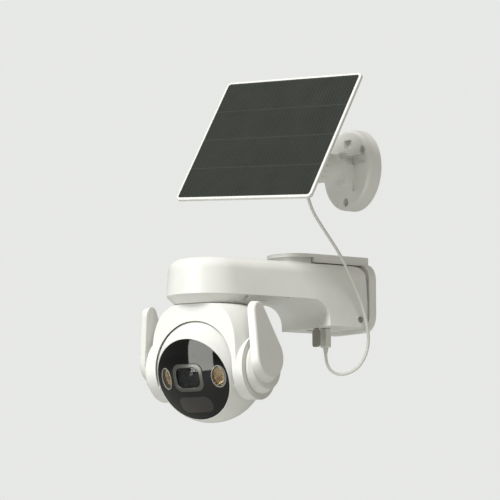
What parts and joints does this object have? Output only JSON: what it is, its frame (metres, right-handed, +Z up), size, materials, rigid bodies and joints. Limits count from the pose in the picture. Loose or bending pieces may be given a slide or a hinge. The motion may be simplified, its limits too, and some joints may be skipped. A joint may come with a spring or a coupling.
{
  "type": "solar-powered pan and tilt security camera",
  "caption": "Wall-hung wireless security camera: a ball head that pans and tilts under a battery arm, with paddle antennas, and a solar panel on its own ball mount feeding it by cable.",
  "frame": {"origin": "middle of the wall bracket's back face, on the wall", "axes": "+Y into the wall, -Y the way the arm reaches out, +Z up, +X to the side that the cable runs down"},
  "size_m": [0.1819, 0.2163, 0.3495],
  "materials": {
    "white_shell": "satin",
    "solar_back_white": "satin",
    "cable_white": "satin",
    "port_rubber": "matt",
    "button_rubber": "matt",
    "screw_steel": "satin",
    "bearing_plastic": "satin",
    "gear_plastic": "satin",
    "cell_wrap": "satin",
    "tray_plastic": "matt",
    "board_green": "satin",
    "motor_steel": "satin",
    "speaker_cone": "matt",
    "ring_grey": "satin",
    "black_gloss": "gloss",
    "dark_glass": "gloss",
    "lens_glass": "gloss",
    "barrel_black": "matt",
    "reflector_chrome": "polished",
    "led_yellow": "gloss",
    "pir_brown": "gloss",
    "solar_cell": "gloss"
  },
  "bodies": {
    "mount_and_arm": {"wall_bracket": "white_shell", "lock_screw": "screw_steel", "arm_housing": "white_shell", "arm_bottom_cover": "white_shell", "housing_screws": "screw_steel", "pan_bearing": "bearing_plastic", "battery_cells": "cell_wrap", "battery_tray": "tray_plastic", "main_board": "board_green", "usb_socket": "motor_steel", "port_cover": "port_rubber", "plug_shell": "motor_steel", "plug_body": "cable_white", "strain_relief": "cable_white", "speaker": "speaker_cone", "pan_motor": "motor_steel", "solar_base": "white_shell", "socket_cup": "white_shell", "cable_lower": "cable_white"},
    "pan_head": {"head_shell": "white_shell", "head_rear_cover": "white_shell", "pan_gear": "gear_plastic", "tilt_ring_gear": "gear_plastic"},
    "tilt_ball": {"ball_front": "white_shell", "ball_rear": "white_shell", "axle_right": "bearing_plastic", "axle_left": "bearing_plastic", "hub_disc_right": "white_shell", "hub_disc_left": "white_shell", "ear_right": "white_shell", "ear_left": "white_shell", "ear_cover_right": "white_shell", "ear_cover_left": "white_shell", "antennas": "board_green", "face_ring": "white_shell", "face_window": "black_gloss", "lens_bezel": "ring_grey", "lens_cover_glass": "dark_glass", "sensor_board": "board_green", "lens_barrel": "barrel_black", "front_lens": "lens_glass", "led_reflectors": "reflector_chrome", "led_chips": "led_yellow", "led_lenses": "lens_glass", "pir_lens": "pir_brown", "light_sensor": "black_gloss", "tilt_motor": "motor_steel"},
    "pan_pinion": {"pan_pinion": "gear_plastic"},
    "tilt_pinion": {"tilt_pinion": "gear_plastic"},
    "power_button": {"power_button": "button_rubber"},
    "lock_ring": {"lock_ring": "white_shell"},
    "solar_ball": {"solar_ball": "bearing_plastic"},
    "solar_panel": {"panel_stem": "white_shell", "panel_frame": "white_shell", "solar_laminate": "solar_cell", "panel_back": "solar_back_white", "panel_screws": "screw_steel", "cable_gland": "cable_white", "cable_upper": "cable_white"}
  },
  "joints": [
    {"name": "head_pan", "type": "hinge", "parent": "mount_and_arm", "child": "pan_head", "pos_m": [0, -0.165, -0.008], "axis": [0, 0, 1], "range_deg": [-202.5, 152.5]},
    {"name": "ball_tilt", "type": "hinge", "parent": "pan_head", "child": "tilt_ball", "pos_m": [0, -0.165, -0.074], "axis": [0.9063, 0.4226, 0], "range_deg": [-31, 69]},
    {"name": "pan_pinion_turn", "type": "hinge", "parent": "mount_and_arm", "child": "pan_pinion", "pos_m": [0, -0.135, 0], "axis": [0, 0, 1], "range_deg": [-612, 812]},
    {"name": "tilt_pinion_turn", "type": "hinge", "parent": "tilt_ball", "child": "tilt_pinion", "pos_m": [0.03861, -0.12948, -0.06791], "axis": [0.9063, 0.4226, 0], "range_deg": [-266, 120]},
    {"name": "power_button_press", "type": "slide", "parent": "mount_and_arm", "child": "power_button", "axis": [0, 0, 1], "range_m": [0, 0.0007], "stiffness_N_per_m": 400},
    {"name": "lock_ring_turn", "type": "hinge", "parent": "mount_and_arm", "child": "lock_ring", "pos_m": [0.012, -0.058, 0.131], "axis": [0, -1, 0], "range_deg": [-120, 0]},
    {"name": "solar_yaw", "type": "hinge", "parent": "mount_and_arm", "child": "solar_ball", "pos_m": [0.012, -0.058, 0.131], "axis": [0, 0, 1], "range_deg": [-40, 10], "deforming": ["cable_lower"]},
    {"name": "solar_tilt", "type": "hinge", "parent": "solar_ball", "child": "solar_panel", "pos_m": [0.012, -0.058, 0.131], "axis": [0.9452, 0.3266, 0], "range_deg": [-6, 30], "deforming": ["cable_upper"]}
  ],
  "couplings": [
    {"joint": "pan_pinion_turn", "follows": "head_pan", "ratio": -4},
    {"joint": "tilt_pinion_turn", "follows": "ball_tilt", "ratio": -3.8333}
  ]
}
